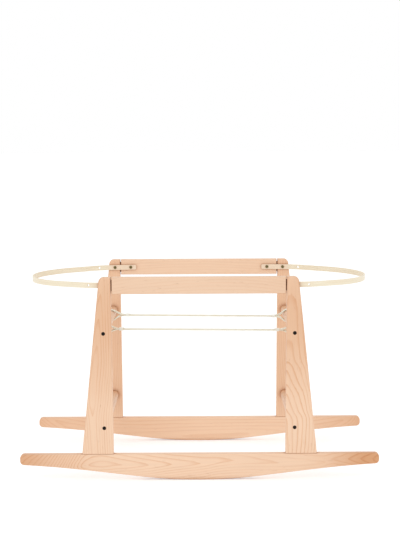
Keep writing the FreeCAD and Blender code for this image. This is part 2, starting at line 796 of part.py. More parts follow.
def add_slot(sketch, radius, bottom):
    """A stadium of the given radius whose two centres are the origin and (0, bottom)."""
    up = Vector(0, 0, 1)
    top_arc = Part.ArcOfCircle(Part.Circle(Vector(0, 0, 0), up, radius.number), 0, math.pi)
    low_arc = Part.ArcOfCircle(
        Part.Circle(Vector(0, bottom.number, 0), up, radius.number), math.pi, 2 * math.pi)
    sketch.addGeometry(top_arc, False)
    sketch.addGeometry(low_arc, False)
    for sign in (-1, 1):
        sketch.addGeometry(Part.LineSegment(
            Vector(sign * radius.number, 0, 0),
            Vector(sign * radius.number, bottom.number, 0)), False)
    for arc, height, start in ((0, ZERO, radius), (1, bottom, -radius)):
        pin_vertex(sketch, arc, 3, ZERO, height)
        pin_vertex(sketch, arc, 1, start, height)
        sketch.addConstraint(Sketcher.Constraint("Horizontal", arc, 1, arc, 2))
    for line, top_end, low_end in ((2, 2, 1), (3, 1, 2)):
        sketch.addConstraint(Sketcher.Constraint("Coincident", line, 1, 0, top_end))
        sketch.addConstraint(Sketcher.Constraint("Coincident", line, 2, 1, low_end))


# ---- Assembly ------------------------------------------------------------------------

for frame_name, frame in (("front", NO_TURN), ("back", HALF_TURN)):
    make_rocker(f"rocker_{frame_name}", frame)
    make_rail(f"rail_{frame_name}", frame)
    for side_name, side in (("left", -1), ("right", 1)):
        model_side = side if frame_name == "front" else -side
        make_leg(f"leg_{frame_name}_{side_name}", model_side, frame)

for level in ("upper", "lower"):
    for side_name, side in (("left", -1), ("right", 1)):
        make_cross_dowel(f"cross_dowel_{level}_{side_name}", side, f"{level}_dowel_height")

head_seat_depth = SIZES["board_thickness"] - SIZES["counterbore_depth"]
link_group("frame_bolts", make_bolt(), dowel_end_placements(head_seat_depth))
link_group("threaded_inserts", make_insert(), dowel_end_placements(0))
pin = make_pin()
link_group("foot_pins_front", pin, pin_placements(NO_TURN))
link_group("foot_pins_back", pin, pin_placements(HALF_TURN))

screw = make_screw()
for side_name, side in (("left", -1), ("right", 1)):
    make_hoop(f"hoop_{side_name}", hoop_placement(side))
    link_group(f"hoop_screws_{side_name}", screw, screw_placements(side))

for rope_name, route in (("back", ROPE_BACK_ROUTE), ("front", ROPE_FRONT_ROUTE)):
    make_rope(f"rope_{rope_name}", route)
    make_whipping(f"whipping_{rope_name}_left", route[9], route[1], route[0])
    make_whipping(f"whipping_{rope_name}_right", route[10], route[18], route[19])

document.recompute()
for item in document.Objects:
    if "Invalid" in item.State or "Error" in item.State:
        raise RuntimeError(f"{item.Name} did not recompute: {item.State}")
for item in exported:
    if item.Shape.isNull() or not item.Shape.isValid():
        raise RuntimeError(f"{item.Label} has no valid shape")

os.makedirs("parts", exist_ok=True)
for item in exported:
    item.Shape.exportStep(f"parts/{item.Label}.step")
    box = item.Shape.BoundBox
    print(f"{item.Label}: {len(item.Shape.Solids)} solid(s), volume {item.Shape.Volume:.0f},"
          f" X {box.XMin:.1f}..{box.XMax:.1f} Y {box.YMin:.1f}..{box.YMax:.1f}"
          f" Z {box.ZMin:.1f}..{box.ZMax:.1f}")
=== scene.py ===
"""Looks of the rocking bassinet stand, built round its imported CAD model. Metres, +Z up."""

import math

import bmesh
import bpy
from mathutils import Euler, Matrix, Vector


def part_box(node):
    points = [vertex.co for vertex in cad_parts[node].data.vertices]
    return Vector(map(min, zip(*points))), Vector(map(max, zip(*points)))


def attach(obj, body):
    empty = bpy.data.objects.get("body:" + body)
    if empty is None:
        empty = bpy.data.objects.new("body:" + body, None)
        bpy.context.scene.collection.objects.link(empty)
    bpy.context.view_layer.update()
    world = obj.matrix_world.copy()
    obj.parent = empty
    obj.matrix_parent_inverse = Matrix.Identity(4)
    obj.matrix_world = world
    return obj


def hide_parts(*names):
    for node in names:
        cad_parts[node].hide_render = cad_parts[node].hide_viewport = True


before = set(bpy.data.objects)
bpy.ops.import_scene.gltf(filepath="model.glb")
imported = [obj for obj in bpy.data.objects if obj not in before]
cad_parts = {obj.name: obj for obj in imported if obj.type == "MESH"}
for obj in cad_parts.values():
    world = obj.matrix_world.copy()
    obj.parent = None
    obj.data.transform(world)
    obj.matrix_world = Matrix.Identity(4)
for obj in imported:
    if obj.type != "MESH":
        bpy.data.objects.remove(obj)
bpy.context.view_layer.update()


# ---- Camera, light and floor -----------------------------------------------------------

CAMERA_PLACE = (0.00336, -3.6983, 0.9120)
CAMERA_PITCH = 6.145            # degrees below the horizon
CAMERA_ROLL = -0.288            # degrees about the line of sight
CAMERA_LENS = 95.55             # mm, on a sensor 36 mm along the picture's long side
LIGHTS = (                      # name, place, target, width and watts
    ("key", (-0.9, -2.6, 2.6), (0, 0, 0.25), 1.6, 13),
    ("fill", (2.4, -1.2, 1.5), (0, 0, 0.3), 1.8, 3),
)
FLOOR_RADIUS = 30.0
FLOOR_GREY = 0.75
FLOOR_GLOW = 0.37               # small emission that keeps the pale floor white


def make_camera():
    data = bpy.data.cameras.new("camera")
    data.lens = CAMERA_LENS
    data.sensor_width = 36.0
    camera = bpy.data.objects.new("camera", data)
    bpy.context.scene.collection.objects.link(camera)
    look = Euler((math.radians(90 - CAMERA_PITCH), 0, 0)).to_matrix()
    roll = Matrix.Rotation(math.radians(CAMERA_ROLL), 3, "Z")
    camera.matrix_world = Matrix.Translation(CAMERA_PLACE) @ (look @ roll).to_4x4()
    bpy.context.scene.camera = camera


def add_area_light(name, place, target, width, power):
    data = bpy.data.lights.new(name, "AREA")
    data.size = width
    data.energy = power
    light = bpy.data.objects.new(name, data)
    bpy.context.scene.collection.objects.link(light)
    light.location = place
    light.rotation_euler = (Vector(target) - Vector(place)).to_track_quat("-Z", "Y").to_euler()


def make_studio():
    world = bpy.data.worlds.new("studio")
    world.use_nodes = True
    world.node_tree.nodes["Background"].inputs["Color"].default_value = (1.0, 1.0, 1.0, 1.0)
    world.node_tree.nodes["Background"].inputs["Strength"].default_value = 1.0
    bpy.context.scene.world = world
    bpy.context.scene.view_settings.view_transform = "Standard"
    for light in LIGHTS:
        add_area_light(*light)

    mesh = bpy.data.meshes.new("floor")
    ring = bmesh.new()
    bmesh.ops.create_circle(ring, cap_ends=True, segments=96, radius=FLOOR_RADIUS)
    ring.to_mesh(mesh)
    ring.free()
    floor = bpy.data.objects.new("floor", mesh)
    bpy.context.scene.collection.objects.link(floor)
    paint = Shader("floor_paint")
    paint.set(**{"Base Color": (FLOOR_GREY, FLOOR_GREY, FLOOR_GREY, 1.0), "Roughness": 0.9,
                 "Specular IOR Level": 0.1, "Emission Color": (1.0, 1.0, 1.0, 1.0),
                 "Emission Strength": FLOOR_GLOW})
    mesh.materials.append(paint.material)


# ---- Shader helper -------------------------------------------------------------------

class Shader:
    """A material round one Principled node, with short calls for the nodes that feed it."""

    def __init__(self, name):
        self.material = bpy.data.materials.new(name)
        self.material.use_nodes = True
        self.tree = self.material.node_tree
        self.surface = self.tree.nodes["Principled BSDF"]

    def set(self, **values):
        for name, value in values.items():
            self.surface.inputs[name].default_value = value

    def feed(self, name, output):
        self.tree.links.new(output, self.surface.inputs[name])

    def add(self, kind, inputs=(), **properties):
        """A node. inputs are (socket, value or output) pairs."""
        node = self.tree.nodes.new(kind)
        for name, value in properties.items():
            setattr(node, name, value)
        for socket, value in inputs:
            if isinstance(value, bpy.types.NodeSocket):
                self.tree.links.new(value, node.inputs[socket])
            else:
                node.inputs[socket].default_value = value
        return node

    def math(self, operation, first, second=0.0, third=0.0):
        node = self.add("ShaderNodeMath", ((0, first), (1, second), (2, third)),
                        operation=operation)
        return node.outputs[0]

    def ramp(self, value, low, high, to_low=0.0, to_high=1.0, smooth=True):
        """value moved from low..high to to_low..to_high, and held there outside."""
        node = self.add("ShaderNodeMapRange",
                        (("Value", value), ("From Min", low), ("From Max", high),
                         ("To Min", to_low), ("To Max", to_high)),
                        interpolation_type="SMOOTHSTEP" if smooth else "LINEAR")
        return node.outputs["Result"]

    def vector(self, x, y, z):
        node = self.add("ShaderNodeCombineXYZ", ((0, x), (1, y), (2, z)))
        return node.outputs[0]

    def noise(self, vector, detail=2.0, roughness=0.5):
        """Smooth noise from 0 to 1 about 0.5, one blob per unit of the vector."""
        node = self.add("ShaderNodeTexNoise",
                        (("Vector", vector), ("Scale", 1.0), ("Detail", detail),
                         ("Roughness", roughness)))
        return node.outputs["Fac"]

    def curve(self, value, points):
        """A smooth curve through (value, result) points."""
        lows = [min(point[axis] for point in points) for axis in (0, 1)]
        highs = [max(point[axis] for point in points) for axis in (0, 1)]
        spans = [max(high - low, 1e-6) for low, high in zip(lows, highs)]
        share = self.ramp(value, lows[0], highs[0], smooth=False)
        node = self.add("ShaderNodeFloatCurve", (("Value", share),))
        line = node.mapping.curves[0]
        scaled = [tuple((point[axis] - lows[axis]) / spans[axis] for axis in (0, 1))
                  for point in points]
        line.points[0].location = scaled[0]
        line.points[1].location = scaled[-1]
        for spot in scaled[1:-1]:
            line.points.new(*spot)
        node.mapping.update()
        return self.math("MULTIPLY_ADD", node.outputs[0], spans[1], lows[1])

    def mix(self, factor, first, second, blend="MIX"):
        """Colours mixed by factor. A colour is an output or three numbers."""
        def full(colour):
            return colour if isinstance(colour, bpy.types.NodeSocket) else (*colour, 1.0)
        node = self.add("ShaderNodeMix", data_type="RGBA", blend_type=blend)
        for name, value in (("Factor_Float", factor), ("A_Color", full(first)),
                            ("B_Color", full(second))):
            socket = next(item for item in node.inputs if item.identifier == name)
            if isinstance(value, bpy.types.NodeSocket):
                self.tree.links.new(value, socket)
            else:
                socket.default_value = value
        return next(item for item in node.outputs if item.identifier == "Result_Color")

    def painted_corner_shade(self, colour, reach, tint, strength):
        """The colour, deepened by tint as painted shade where another surface is nearer than
        about reach.
        """
        node = self.add("ShaderNodeAmbientOcclusion", (("Distance", reach),), samples=6)
        near = self.ramp(node.outputs["AO"], 0.95, 0.35, 0.0, strength, smooth=False)
        return self.mix(near, colour, self.mix(1.0, colour, tint, "MULTIPLY"))

    def bump(self, height, distance, strength=1.0):
        node = self.add("ShaderNodeBump", (("Strength", strength), ("Distance", distance),
                                           ("Height", height)))
        self.feed("Normal", node.outputs[0])


# ---- Wood ----------------------------------------------------------------------------

PALE = (0.800, 0.573, 0.408)         # early wood
PINK = (0.771, 0.526, 0.371)         # warmer patches
LATE = (0.620, 0.290, 0.125)         # late wood, the dark line of a ring
FLECK = (0.40, 0.20, 0.11)           # small pins and resin flecks
SHADE_AMBER = (0.750, 0.540, 0.370)        # what the wood keeps of its colour in the deepest painted shade
GAP_SHADE = (0.30, 0.13, 0.07)             # painted shade on the tenon, inside the narrow gap between rail and leg
CORNER_SHADE_TINT = (0.50, 0.27, 0.13)     # what wood keeps of its colour in the painted shade where pieces meet
CORNER_SHADE_REACH = 0.011
RAIL_FACE_END = 0.2158               # from the middle, where a rail's face gives way to its tenon


def wood_material(name, axes, rings, heart, spacing, depth, clear=0.6, upper=1.0,
                  roundness=0.9, tilt=120.0, seed=0.0, tone=1.0, warmth=0.3, recess=None):
    """Sawn wood with one board's own figure.

    axes names the object's axes along the board, across its face and through it. A ring
    number is worked out at every point: rings(along) + the distance from the heart line,
    heart(along), on the board's face, in units of spacing(along), rounded off near that
    line. Above the line the unit is upper times as wide. The number rises through the
    board by tilt rings per metre. Each ring ends in a dark line, as strong as
    clear(along). depth(along) says how much painted shade deepens the wood towards
    amber, from 0 to 1. Beyond recess from the middle the wood is painted dark, as the
    shade inside a narrow joint.
    """
    wood = Shader(name)
    place = wood.add("ShaderNodeTexCoord").outputs["Object"]
    split = wood.add("ShaderNodeSeparateXYZ", ((0, place),))
    along, across, through = (split.outputs["XYZ".index(axis)] for axis in axes)

    def stretched(long_scale, cross_scale, shift):
        return wood.vector(wood.math("MULTIPLY_ADD", along, long_scale, seed + shift),
                           wood.math("MULTIPLY_ADD", across, cross_scale, seed),
                           wood.math("MULTIPLY", through, cross_scale))

    slow = wood.noise(stretched(5.0, 22.0, 3.1), 1.0)
    quick = wood.noise(stretched(26.0, 160.0, 7.7), 2.0)
    wander = wood.math("MULTIPLY_ADD", wood.math("SUBTRACT", slow, 0.5), 1.1,
                       wood.math("MULTIPLY", wood.math("SUBTRACT", quick, 0.5), 0.30))
    off_heart = wood.math("DIVIDE", wood.math("SUBTRACT", across, wood.curve(along, heart)),
                          wood.curve(along, spacing))
    off_heart = wood.math("ADD", wood.math("MINIMUM", off_heart, 0.0),
                          wood.math("DIVIDE", wood.math("MAXIMUM", off_heart, 0.0), upper))
    square = wood.math("MULTIPLY_ADD", off_heart, off_heart, roundness * roundness)
    number = wood.math("SUBTRACT", wood.math("SQRT", square), roundness)
    number = wood.math("ADD", number, wood.curve(along, rings))
    number = wood.math("ADD", number, wander)
    number = wood.math("MULTIPLY_ADD", through, tilt, number)
    number = wood.math("ADD", number, 100.0)
    part = wood.math("FRACT", number)
    whole = wood.math("FLOOR", number)

    rise = wood.ramp(part, 0.42, 0.93)
    fall = wood.ramp(part, 0.94, 1.0, 1.0, 0.0)
    chance = wood.add("ShaderNodeTexWhiteNoise", (("W", whole),), noise_dimensions="1D")
    strong = wood.ramp(chance.outputs["Value"], 0.0, 1.0, 0.55, 1.0, smooth=False)
    fade = wood.ramp(wood.noise(stretched(9.0, 45.0, 1.9), 1.0), 0.3, 0.6, 0.55, 1.0)
    line = wood.math("MULTIPLY", wood.math("POWER", rise, 2.2), fall)
    line = wood.math("MULTIPLY", wood.math("MULTIPLY", line, strong), fade)

    blotch = wood.ramp(wood.noise(stretched(4.0, 30.0, 5.3), 2.0), 0.3, 0.7)
    fibre = wood.noise(stretched(40.0, 2200.0, 0.4), 3.0, 0.65)
    streak = wood.noise(stretched(9.0, 420.0, 2.6), 2.0)
    speck = wood.noise(stretched(70.0, 700.0, 9.2), 0.0)
    dot = wood.ramp(speck, 0.80, 0.86)

    colour = wood.mix(wood.math("MULTIPLY", blotch, warmth), PALE, PINK)
    clearness = wood.curve(along, clear) if isinstance(clear, list) else clear
    colour = wood.mix(wood.math("MULTIPLY", line, clearness), colour, LATE)
    colour = wood.mix(wood.math("MULTIPLY", dot, 0.35), colour, FLECK)
    # Painted shade: faces turned down, and faces turned outward to the sides, deepen towards
    # amber.
    normal = wood.add("ShaderNodeTexCoord").outputs["Normal"]
    facing = wood.add("ShaderNodeSeparateXYZ", ((0, normal),))
    outward = wood.math("MULTIPLY", facing.outputs["X"], wood.math("SIGN", split.outputs["X"]))
    underside_shade = wood.ramp(facing.outputs["Z"], -0.15, -0.8, 0.0, 0.55)
    outward_shade = wood.ramp(outward, 0.15, 0.8, 0.0, 0.45)
    facing_shade = wood.math("ADD", underside_shade, outward_shade)
    # Painted shade: the depth curve and the facing shade deepen the colour towards amber.
    deep = wood.math("ADD", wood.curve(along, depth), facing_shade)
    colour = wood.mix(deep, colour, wood.mix(1.0, colour, SHADE_AMBER, "MULTIPLY"))
    shade = wood.math("MULTIPLY_ADD", fibre, 0.10, 0.95)
    shade = wood.math("MULTIPLY", shade, wood.math("MULTIPLY_ADD", streak, 0.12, 0.94))
    shade = wood.math("MULTIPLY", shade, tone)
    grey = wood.vector(shade, shade, shade)
    colour = wood.mix(1.0, colour, grey, "MULTIPLY")
    # Painted shade: beyond the rail's face the tenon sits in a narrow gap and is painted dark.
    if recess:
        inside = wood.ramp(wood.math("ABSOLUTE", along), recess, recess + 0.0003)
        colour = wood.mix(inside, colour, GAP_SHADE)
    # Painted shade: the wood darkens where another part is near, at joints, below the hoops and
    # round the dowels.
    wood.feed("Base Color", wood.painted_corner_shade(colour, CORNER_SHADE_REACH, CORNER_SHADE_TINT, 0.85))
    wood.feed("Roughness", wood.math("MULTIPLY_ADD", fibre, 0.16, 0.40))
    height = wood.math("MULTIPLY_ADD", line, 0.5, wood.math("MULTIPLY", fibre, 0.6))
    wood.bump(height, 0.00012, 0.6)
    wood.set(**{"Coat Weight": 0.12, "Coat Roughness": 0.35, "Specular IOR Level": 0.35})
    return wood.material


def paint_node(node, material):
    """Give a CAD node the material."""
    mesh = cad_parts[node].data
    if mesh.materials:
        mesh.materials[0] = material
    else:
        mesh.materials.append(material)


def paint_boards():
    """Each board is sawn from its own place in the log."""
    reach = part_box("rocker_front")[1].x
    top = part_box("leg_front_left")[1].z
    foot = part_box("leg_front_left")[0].z
    side = "XZY"
    upright = "ZXY"

    # The depth lists are painted shade: darker towards the rockers' and rails' ends, higher up
    # the legs, on the back pieces, and darkest at the dowels' back ends where they meet the back
    # legs.
    # The front rocker: close arcs, an oval, arrowheads, then long slanting lines.
    paint_node("rocker_front", wood_material(
        "wood_rocker_front", side,
        rings=[(-reach, 16.9), (-0.395, 13.3), (-0.350, 8.6), (-0.305, 3.0), (-0.285, 1.4),
               (-0.250, 0.60), (-0.205, 1.0), (-0.126, 1.95), (-0.064, 2.95), (0.0, 3.95),
               (0.087, 4.95), (0.200, 6.0), (0.300, 6.95), (0.320, 7.1), (0.338, 6.9),
               (0.375, 5.9), (0.415, 4.6), (reach, 3.2)],
        heart=[(-reach, 0.020), (-0.37, 0.022), (-0.30, 0.036), (-0.25, 0.041),
               (-0.126, 0.038), (-0.06, 0.039), (0.0, 0.041), (0.087, 0.048), (0.20, 0.042),
               (0.30, 0.042), (0.34, 0.050), (reach, 0.049)],
        spacing=[(-reach, 0.0085), (-0.25, 0.0070), (-0.06, 0.0060), (0.1, 0.0066),
                 (0.3, 0.0066), (reach, 0.0085)],
        upper=1.5,
        depth=[(-reach, 0.80), (-0.42, 0.68), (-0.366, 0.38), (-0.31, 0.24), (-0.25, 0.05),
               (-0.1, 0.0), (0.1, 0.03), (0.25, 0.10), (0.30, 0.22), (0.35, 0.52),
               (0.406, 0.95), (reach, 1.2)],
        clear=[(-reach, 0.55), (-0.36, 0.62), (-0.30, 0.58), (-0.20, 0.40), (-0.10, 0.50),
               (0.0, 0.50), (0.12, 0.32), (0.27, 0.32), (0.33, 0.50), (reach, 0.62)],
        seed=2.0))
    paint_node("leg_front_left", wood_material(
        "wood_leg_front_left", upright,
        rings=[(foot, 1.35), (0.145, 1.25), (0.172, 0.85), (0.20, 0.25), (0.23, 0.0),
               (0.28, 0.0), (0.34, 0.7), (0.40, 1.7), (top, 3.5)],
        heart=[(foot, -0.262), (0.12, -0.265), (0.172, -0.267), (0.22, -0.266),
               (0.28, -0.260), (0.40, -0.250), (top, -0.240)],
        spacing=[(foot, 0.0058), (top, 0.0058)],
        depth=[(foot, 0.08), (0.17, 0.10), (0.24, 0.26), (0.32, 0.40), (0.40, 0.52),
               (0.46, 0.50), (top, 0.3)],
        roundness=1.2, seed=11.0, clear=0.45))
    # Arches that lean out of the inner edge and run down along the leg.
    paint_node("leg_front_right", wood_material(
        "wood_leg_front_right", upright,
        rings=[(foot, -1.5), (0.110, -0.35), (0.151, 0.2), (0.177, 1.35), (0.219, 2.5),
               (0.245, 3.6), (0.283, 4.8), (0.304, 5.9), (0.348, 6.9), (0.44, 7.7),
               (top, 8.4)],
        heart=[(foot, 0.159), (0.110, 0.175), (0.151, 0.183), (0.177, 0.187),
               (0.219, 0.192), (0.245, 0.196), (0.283, 0.203), (0.304, 0.210),
               (0.348, 0.222), (0.44, 0.230), (top, 0.234)],
        spacing=[(foot, 0.00395), (0.25, 0.00346), (0.35, 0.0028), (top, 0.0020)],
        depth=[(foot, 0.08), (0.17, 0.06), (0.24, 0.22), (0.32, 0.40), (0.40, 0.52),
               (0.46, 0.48), (top, 0.3)],
        roundness=50.0, seed=23.0, clear=0.60))
    paint_node("rail_front", wood_material(
        "wood_rail_front", side,
        rings=[(-0.24, 1.6), (-0.08, 0.9), (0.06, 0.4), (0.24, 1.3)],
        heart=[(-0.24, 0.43), (0.0, 0.455), (0.24, 0.44)],
        spacing=[(-0.24, 0.008), (0.24, 0.008)],
        depth=[(-0.24, 0.22), (-0.12, 0.06), (0.12, 0.10), (0.24, 0.3)],
        seed=31.0, clear=0.20, tone=0.945, recess=RAIL_FACE_END))
    paint_node("rail_back", wood_material(
        "wood_rail_back", side,
        rings=[(-0.24, 0.4), (0.02, 1.2), (0.24, 0.2)],
        heart=[(-0.24, 0.530), (0.0, 0.540), (0.24, 0.525)],
        spacing=[(-0.24, 0.0075), (0.24, 0.0075)],
        depth=[(-0.24, 0.28), (-0.12, 0.08), (0.12, 0.12), (0.24, 0.3)],
        seed=37.0, clear=0.22, tone=1.01, recess=RAIL_FACE_END))
    paint_node("rocker_back", wood_material(
        "wood_rocker_back", side,
        rings=[(-reach, 2.4), (-0.2, 0.8), (0.05, 0.0), (0.25, 1.0), (reach, 3.0)],
        heart=[(-reach, 0.09), (0.0, 0.012), (reach, 0.10)],
        spacing=[(-reach, 0.009), (reach, 0.009)],
        depth=[(-reach, 0.7), (-0.36, 0.35), (-0.18, 0.30), (0.0, 0.12), (0.2, 0.08),
               (0.36, 0.35), (reach, 0.7)],
        seed=41.0, roundness=1.2, clear=0.35, tone=1.06))
    for name, seed, line in (("leg_back_left", 53.0, -0.31), ("leg_back_right", 61.0, 0.325)):
        paint_node(name, wood_material(
            "wood_" + name, upright,
            rings=[(foot, 0.8), (0.3, 0.2), (top, 1.1)],
            heart=[(foot, line), (top, line * 0.93)],
            spacing=[(foot, 0.0062), (top, 0.0062)],
            depth=[(foot, 0.25), (0.25, 0.40), (top, 0.42)],
            seed=seed, clear=0.30, tone=1.05))
    for number, (name, height) in enumerate((
            ("cross_dowel_upper_left", 0.371), ("cross_dowel_upper_right", 0.371),
            ("cross_dowel_lower_left", 0.1325), ("cross_dowel_lower_right", 0.1325))):
        paint_node(name, wood_material(
            "wood_" + name, "YZX",
            rings=[(-0.207, 0.6), (0.0, 0.0), (0.207, 0.5)],
            heart=[(-0.207, height + 0.03), (0.207, height + 0.02)],
            spacing=[(-0.207, 0.0055), (0.207, 0.0055)],
            depth=[(-0.207, 0.5), (0.0, 0.4), (0.15, 0.5), (0.207, 1.0)],
            seed=71.0 + 5 * number, clear=0.3))
    for name in ("foot_pins_front", "foot_pins_back"):
        paint_node(name, wood_material(
            "wood_" + name, upright, rings=[(0.0, 0.0), (0.1, 0.2)],
            heart=[(0.0, 0.3), (0.1, 0.3)], spacing=[(0.0, 0.004), (0.1, 0.004)],
            depth=[(0.0, 0.6), (0.1, 0.6)], seed=97.0, clear=0.25))


# ---- Hoops ---------------------------------------------------------------------------

HOOP_CENTRE = 0.2494             # distance from the middle to the centre of a round end
HOOP_RADIUS = 0.185


def hoop_material(name, seed):
    """Steam-bent strap: its grain runs along the bend and in thin layers through it."""
    strap = Shader(name)
    place = strap.add("ShaderNodeTexCoord").outputs["Object"]
    split = strap.add("ShaderNodeSeparateXYZ", ((0, place),))
    x, y, z = split.outputs
    past = strap.math("SUBTRACT", strap.math("ABSOLUTE", x), HOOP_CENTRE)
    beyond = strap.math("MAXIMUM", past, 0.0)
    before = strap.math("MINIMUM", past, 0.0)
    turn = strap.math("ARCTAN2", strap.math("ABSOLUTE", y), beyond)
    along = strap.math("SUBTRACT", strap.math("MULTIPLY", turn, HOOP_RADIUS), before)
    along = strap.math("MULTIPLY", along, strap.math("SIGN", y))
    out = strap.math("SQRT", strap.math("MULTIPLY_ADD", beyond, beyond,
                                        strap.math("MULTIPLY", y, y)))

    def stretched(long_scale, cross_scale, shift):
        return strap.vector(strap.math("MULTIPLY_ADD", along, long_scale, seed + shift),
                            strap.math("MULTIPLY", z, cross_scale),
                            strap.math("MULTIPLY", out, cross_scale * 0.3))

    bands = strap.noise(stretched(3.0, 330.0, 0.0), 2.0, 0.55)
    fibre = strap.noise(stretched(30.0, 2600.0, 4.0), 3.0, 0.6)
    patch = strap.noise(stretched(6.0, 30.0, 8.0), 1.0)
    colour = strap.mix(strap.ramp(bands, 0.30, 0.72, 0.0, 0.6), (0.780, 0.705, 0.545),
                       (0.700, 0.590, 0.420))
    colour = strap.mix(strap.ramp(patch, 0.45, 0.75, 0.0, 0.35), colour, (0.76, 0.62, 0.46))
    # Painted shade and reflected light: the arms in front of the frame take on the wood's warm
    # colour.
    held = strap.ramp(strap.math("ABSOLUTE", x), 0.262, 0.236, 0.0, 0.75)
    colour = strap.mix(held, colour, (0.760, 0.580, 0.430))
    shade = strap.math("MULTIPLY_ADD", fibre, 0.12, 0.95)
    grey = strap.vector(shade, shade, shade)
    colour = strap.mix(1.0, colour, grey, "MULTIPLY")
    # Painted shade where the strap lies against the frame and near its screws.
    strap.feed("Base Color", strap.painted_corner_shade(colour, 0.008, (0.60, 0.36, 0.18), 0.7))
    strap.feed("Roughness", strap.math("MULTIPLY_ADD", fibre, 0.15, 0.34))
    strap.bump(strap.math("ADD", fibre, bands), 0.0001, 0.6)
    strap.set(**{"Coat Weight": 0.18, "Coat Roughness": 0.3, "Specular IOR Level": 0.4})
    return strap.material


# ---- Metal ---------------------------------------------------------------------------

def metal_material(name, colour, worn, roughness, metallic, scale):
    """Metal with a handled, slightly cloudy finish."""
    metal = Shader(name)
    place = metal.add("ShaderNodeTexCoord").outputs["Object"]
    scaled = metal.add("ShaderNodeVectorMath", ((0, place), (1, (scale, scale, scale))),
                       operation="MULTIPLY").outputs[0]
    cloud = metal.noise(scaled, 3.0, 0.6)
    metal.feed("Base Color", metal.mix(metal.ramp(cloud, 0.45, 0.75), colour, worn))
    metal.feed("Roughness", metal.math("MULTIPLY_ADD", cloud, 0.25, roughness - 0.12))
    metal.bump(cloud, 0.00004, 0.5)
    metal.set(Metallic=metallic)
    return metal.material


def paint_metal():
    paint_node("frame_bolts", metal_material(
        "black_oxide", (0.020, 0.016, 0.014), (0.060, 0.045, 0.038), 0.45, 0.85, 900.0))
    brass = metal_material(
        "insert_brass", (0.62, 0.44, 0.20), (0.45, 0.31, 0.13), 0.35, 1.0, 700.0)
    paint_node("threaded_inserts", brass)
    bronze = metal_material(
        "bronze", (0.150, 0.125, 0.050), (0.27, 0.22, 0.11), 0.40, 0.9, 900.0)
    for name in ("hoop_screws_left", "hoop_screws_right"):
        paint_node(name, bronze)


# ---- Ropes ---------------------------------------------------------------------------

ROPE_LAY = 0.0156                # length of rope in which a strand goes round once
STRAND_RADIUS = 0.00138
STRAND_OFFSET = 0.00132          # of a strand's middle from the rope's
STRAND_SIDES = 12
RINGS_PER_LAY = 20
LEFT_THROAT = 9                  # the routes' points where the rope leaves its eyes
RIGHT_THROAT = 12

# Routes in metres, from the tail at the left eye to the tail at the right eye.
ROPE_ROUTES = {
    "back": [
        (-0.1857, 0.1087, 0.371), (-0.2061, 0.1102, 0.371), (-0.2235, 0.1085, 0.3652),
        (-0.2298, 0.1075, 0.3586), (-0.2387, 0.1073, 0.356), (-0.2494, 0.1081, 0.3612),
        (-0.253, 0.1083, 0.3726), (-0.247, 0.1079, 0.383), (-0.2354, 0.1071, 0.3858),
        (-0.2065, 0.105, 0.371), (-0.1765, 0.1029, 0.371), (0.183, 0.0771, 0.371),
        (0.213, 0.075, 0.371), (0.2353, 0.099, 0.3862), (0.2472, 0.102, 0.3833),
        (0.2534, 0.097, 0.3726), (0.2497, 0.089, 0.361), (0.2387, 0.082, 0.3557),
        (0.2298, 0.076, 0.3582), (0.223, 0.0724, 0.3652), (0.2126, 0.0698, 0.371),
        (0.1922, 0.0713, 0.371),
    ],
    "front": [
        (-0.1892, -0.1429, 0.371), (-0.2097, -0.1416, 0.371), (-0.2235, -0.1436, 0.3652),
        (-0.2298, -0.1446, 0.3586), (-0.2387, -0.1449, 0.356), (-0.2494, -0.1443, 0.3612),
        (-0.253, -0.144, 0.3726), (-0.247, -0.1444, 0.383), (-0.2354, -0.1451, 0.3858),
        (-0.21, -0.14676, 0.371), (-0.18, -0.14865, 0.371), (0.18, -0.17135, 0.371),
        (0.21, -0.17324, 0.371), (0.2354, -0.1749, 0.3858), (0.247, -0.1756, 0.383),
        (0.253, -0.176, 0.3726), (0.2494, -0.1757, 0.3612), (0.2387, -0.1751, 0.356),
        (0.2298, -0.1736, 0.3586), (0.2235, -0.1713, 0.3652), (0.2103, -0.168, 0.371),
        (0.1898, -0.1667, 0.371),
    ],
}


def spline_points(route):
    """Points along the smooth NURBS line that the route's points control."""
    data = bpy.data.curves.new("route", "CURVE")
    data.dimensions = "3D"
    data.resolution_u = 48
    spline = data.splines.new("NURBS")
    spline.points.add(len(route) - 1)
    for point, spot in zip(spline.points, route):
        point.co = (*spot, 1.0)
    spline.order_u = 3
    spline.use_endpoint_u = True
    holder = bpy.data.objects.new("route", data)
    mesh = bpy.data.meshes.new_from_object(holder)
    points = [vertex.co.copy() for vertex in mesh.vertices]
    bpy.data.objects.remove(holder)
    bpy.data.curves.remove(data)
    bpy.data.meshes.remove(mesh)
    return points


def even_points(points, step):
    """The same line with its points about step apart."""
    total = sum((b - a).length for a, b in zip(points, points[1:]))
    count = max(2, round(total / step))
    spacing = total / count
    line = [points[0]]
    left = spacing
    for start, end in zip(points, points[1:]):
        run = (end - start).length
        at = 0.0
        while run - at >= left - 1e-9 and len(line) < count:
            at += left
            line.append(start.lerp(end, at / run))
            left = spacing
        left -= run - at
    line.append(points[-1])
    return line


def frames_along(points):
    """(point, side, up) at each point, turned as little as possible from one to the next."""
    heading = (points[1] - points[0]).normalized()
    side = heading.cross(Vector((0, 0, 1))).normalized()
    frames = []
    for index, point in enumerate(points):
        before = points[max(index - 1, 0)]
        after = points[min(index + 1, len(points) - 1)]
        heading = (after - before).normalized()
        side = (side - heading * side.dot(heading)).normalized()
        frames.append((point, side, heading.cross(side)))
    return frames


